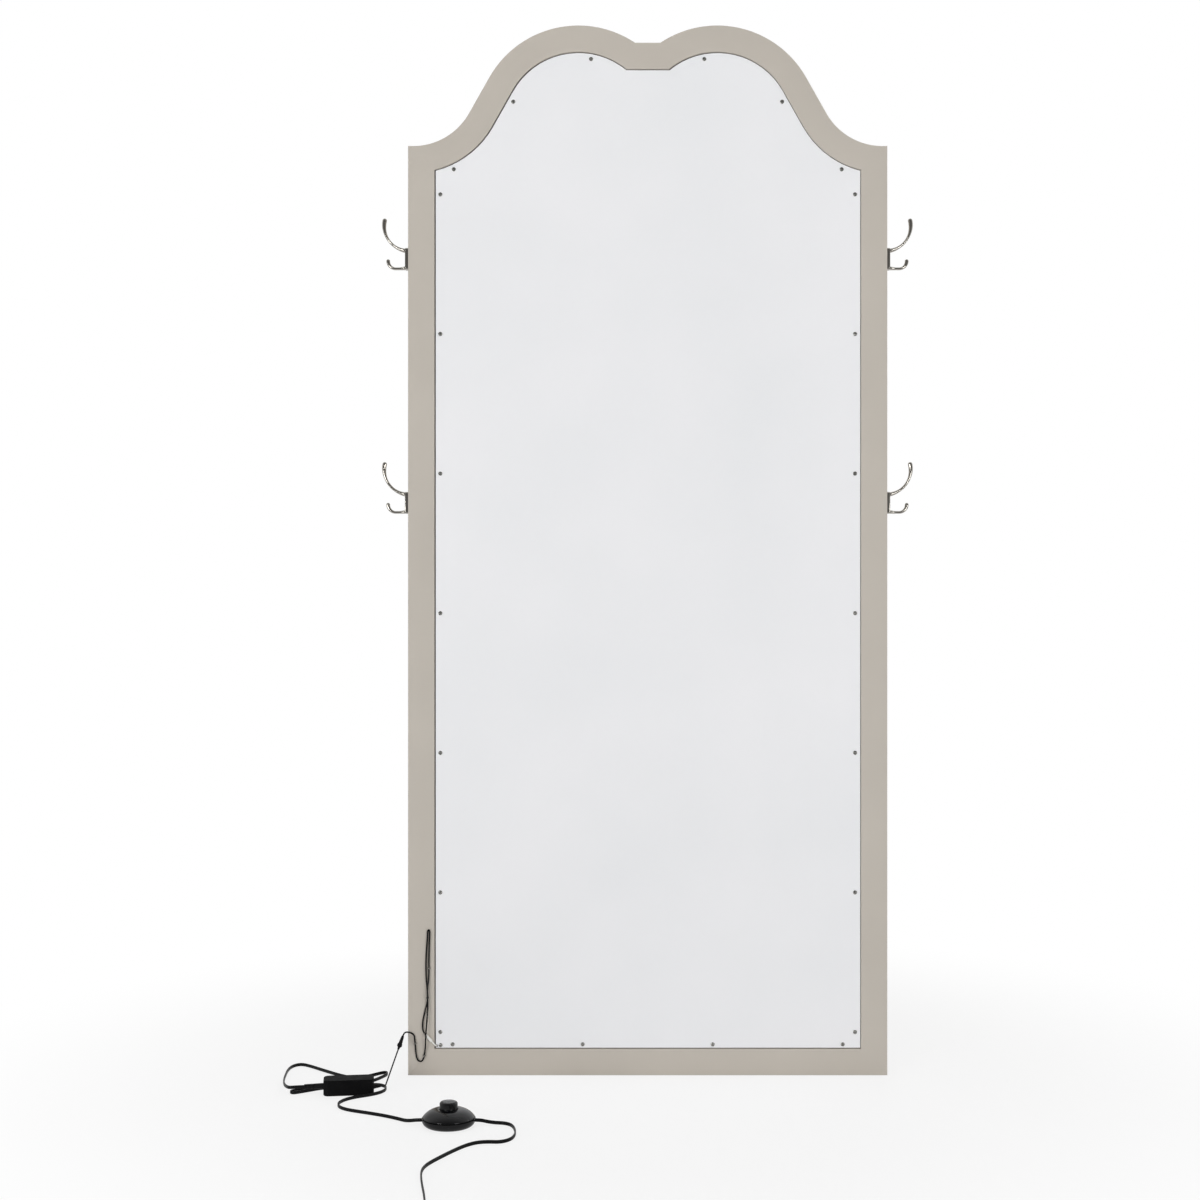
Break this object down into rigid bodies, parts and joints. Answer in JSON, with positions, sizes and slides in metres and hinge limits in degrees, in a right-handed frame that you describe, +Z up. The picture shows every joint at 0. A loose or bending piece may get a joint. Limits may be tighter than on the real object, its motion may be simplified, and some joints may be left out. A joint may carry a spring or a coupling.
{
  "type": "lighted floor mirror",
  "caption": "Full-length lighted mirror in a frame with a double-lobed crest, with coat hooks on its sides, a plug-in adapter and a foot switch on its lead.",
  "frame": {"origin": "on the floor under the middle of the frame", "axes": "+Z up, +Y out of the mirror side, +X to the right as seen from behind, where the backing and leads are"},
  "size_m": [1.0968, 0.8716, 1.829],
  "materials": {
    "painted_wood": "matt warm grey paint",
    "beech": "plain",
    "silvered_glass": "polished, with an etched light band",
    "foam": "closed-cell foam",
    "strip": "white flexible circuit",
    "chip": "light chip, unlit",
    "white_board": "smooth white",
    "screw_steel": "bright zinc",
    "nickel": "polished nickel",
    "white_sheath": "white sheath",
    "black_lead": "black sheath",
    "clear_clip": "clear nylon",
    "black_nylon": "black nylon",
    "black_rubber": "moulded rubber",
    "black_plastic": "fine matt texture",
    "bright_metal": "plated",
    "circuit_board": "lacquered",
    "ferrite": "sintered",
    "can": "bright",
    "spring_steel": "drawn wire",
    "acetal": "plain"
  },
  "bodies": {
    "mirror": {"left_stile": "painted_wood", "right_stile": "painted_wood", "bottom_rail": "painted_wood", "crest_rail": "painted_wood", "frame_dowels": "beech", "left_batten": "beech", "right_batten": "beech", "bottom_batten": "beech", "crest_batten": "beech", "mirror_glass": "silvered_glass", "glass_gasket": "foam", "light_strip": "strip", "light_chips": "chip", "backing_panel": "white_board", "backing_screws": "screw_steel", "switch_screws": "screw_steel", "lower_left_hook": "nickel", "lower_right_hook": "nickel", "upper_left_hook": "nickel", "upper_right_hook": "nickel", "hook_screws": "nickel", "feed_wire": "white_sheath", "lead_sleeve": "white_sheath", "light_lead": "black_lead", "adapter_lead": "black_lead", "switch_lead": "black_lead", "plug_lead": "black_lead", "plug_lead_coil": "black_lead", "lead_clips": "clear_clip", "lead_tie": "black_nylon", "coil_tie": "black_nylon", "low_socket": "black_rubber", "low_plug": "black_rubber", "low_relief": "black_rubber", "mains_relief": "black_rubber", "plug_body": "black_rubber", "adapter_base": "black_plastic", "adapter_cover": "black_plastic", "switch_base": "black_plastic", "switch_cover": "black_plastic", "socket_pin": "bright_metal", "plug_barrel": "bright_metal", "switch_contacts": "bright_metal", "plug_blades": "bright_metal", "adapter_board": "circuit_board", "adapter_transformer": "ferrite", "adapter_capacitor": "can", "switch_spring": "spring_steel", "spring_seat": "spring_steel"},
    "foot_button": {"switch_button": "black_plastic"},
    "ratchet_rotor": {"switch_rotor": "acetal"}
  },
  "joints": [
    {"name": "button_press", "type": "slide", "parent": "mirror", "child": "foot_button", "axis": [0, 0, -1], "range_m": [0, 0.0045], "stiffness_N_per_m": 1500, "springref_m": -0.003, "deforming": ["switch_spring"]},
    {"name": "rotor_turn", "type": "hinge", "parent": "mirror", "child": "ratchet_rotor", "pos_m": [-0.3217, -0.329, 0.006], "axis": [0, 0, 1], "range_deg": [0, 45]}
  ],
  "couplings": [
    {"joint": "rotor_turn", "follows": "button_press", "rad_per_m": 174.5}
  ]
}
